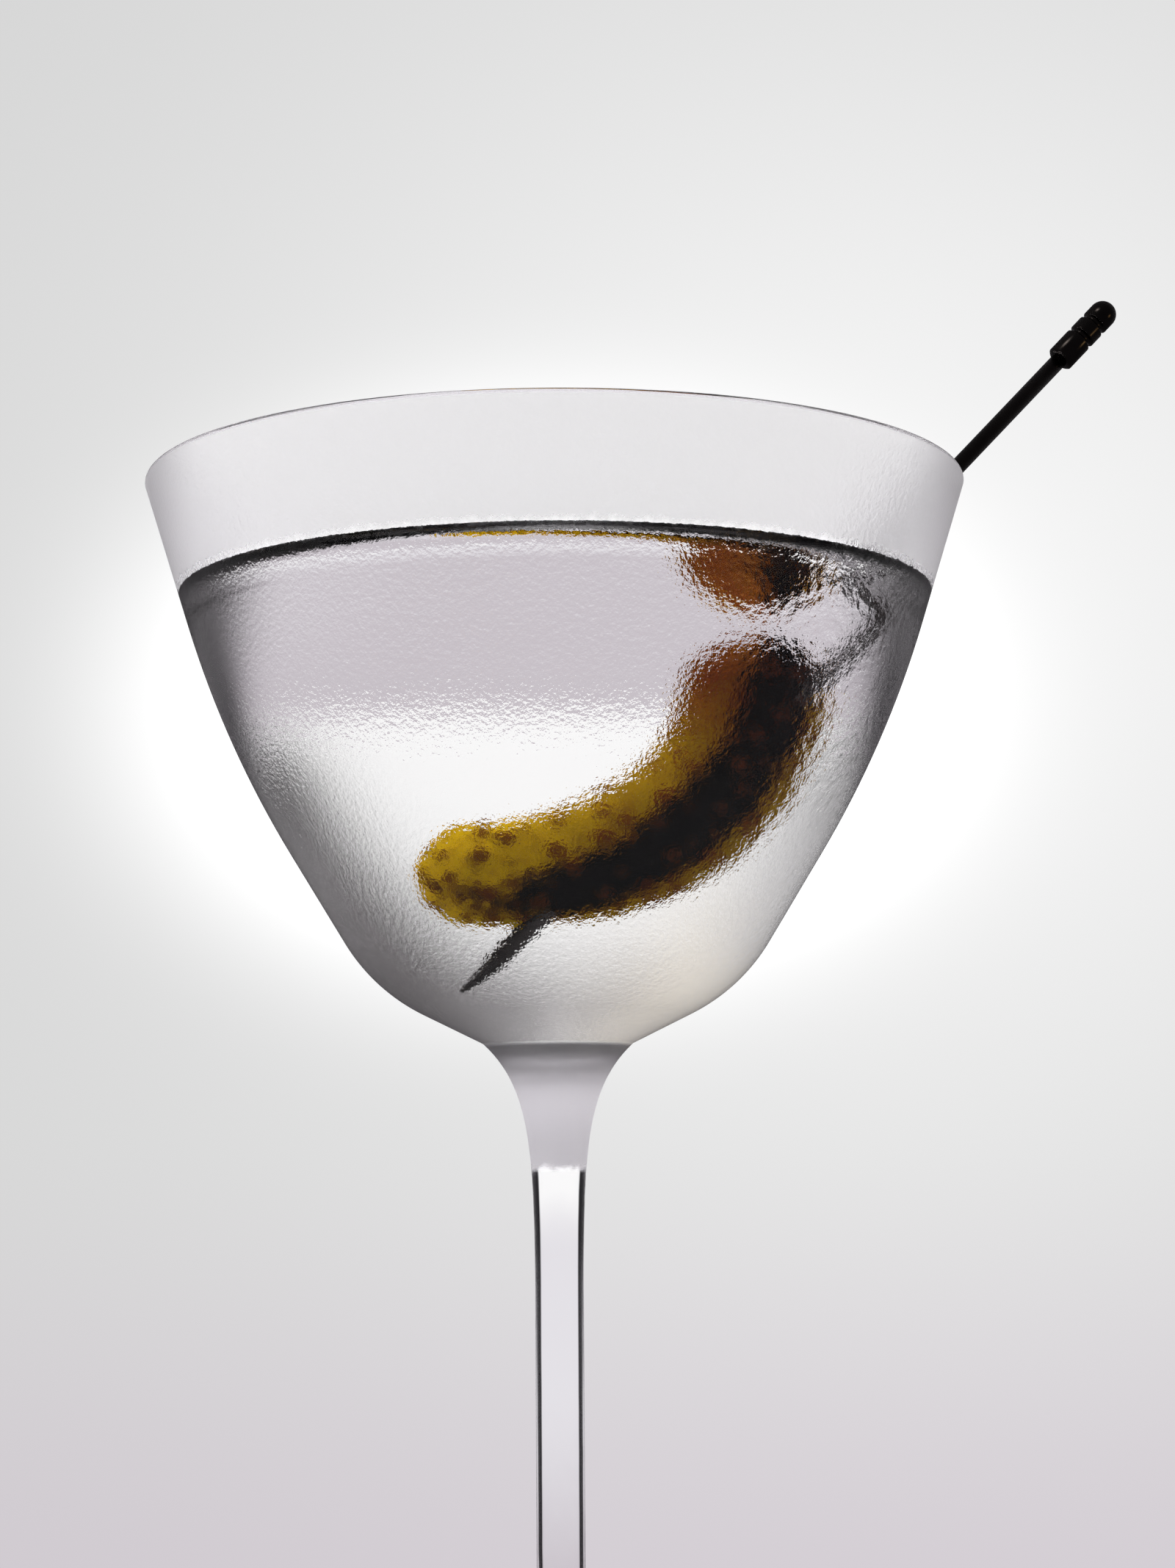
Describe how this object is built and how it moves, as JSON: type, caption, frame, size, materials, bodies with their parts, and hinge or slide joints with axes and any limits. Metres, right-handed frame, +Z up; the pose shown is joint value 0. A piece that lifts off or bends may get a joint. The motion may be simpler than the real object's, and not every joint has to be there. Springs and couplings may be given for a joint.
{
  "type": "martini cocktail in a stemmed glass",
  "caption": "Clear martini in a chilled stemmed cocktail glass, with a bent gherkin sunk in it on a dark metal pick that leans on the rim.",
  "frame": {"origin": "centre of the flat underside of the foot, on the surface that the glass stands on", "axes": "+Z up the stem to the rim, +X towards the side of the rim that the pick leans on, +Y away from the viewer of the side that shows the pick in front"},
  "size_m": [0.1262, 0.105, 0.201],
  "materials": {
    "glass": "clear crystal, misted with fine condensation down to the neck, clear below",
    "drink": "clear chilled spirit, still",
    "gherkin": "wet pickled skin, olive yellow to brown with dark warts; rubber stands for its firm wet flesh",
    "pick_metal": "polished black-plated steel"
  },
  "bodies": {
    "root": {"glass": "glass", "drink": "drink", "gherkin": "gherkin", "pick_shaft": "pick_metal", "pick_head": "pick_metal"}
  },
  "joints": []
}
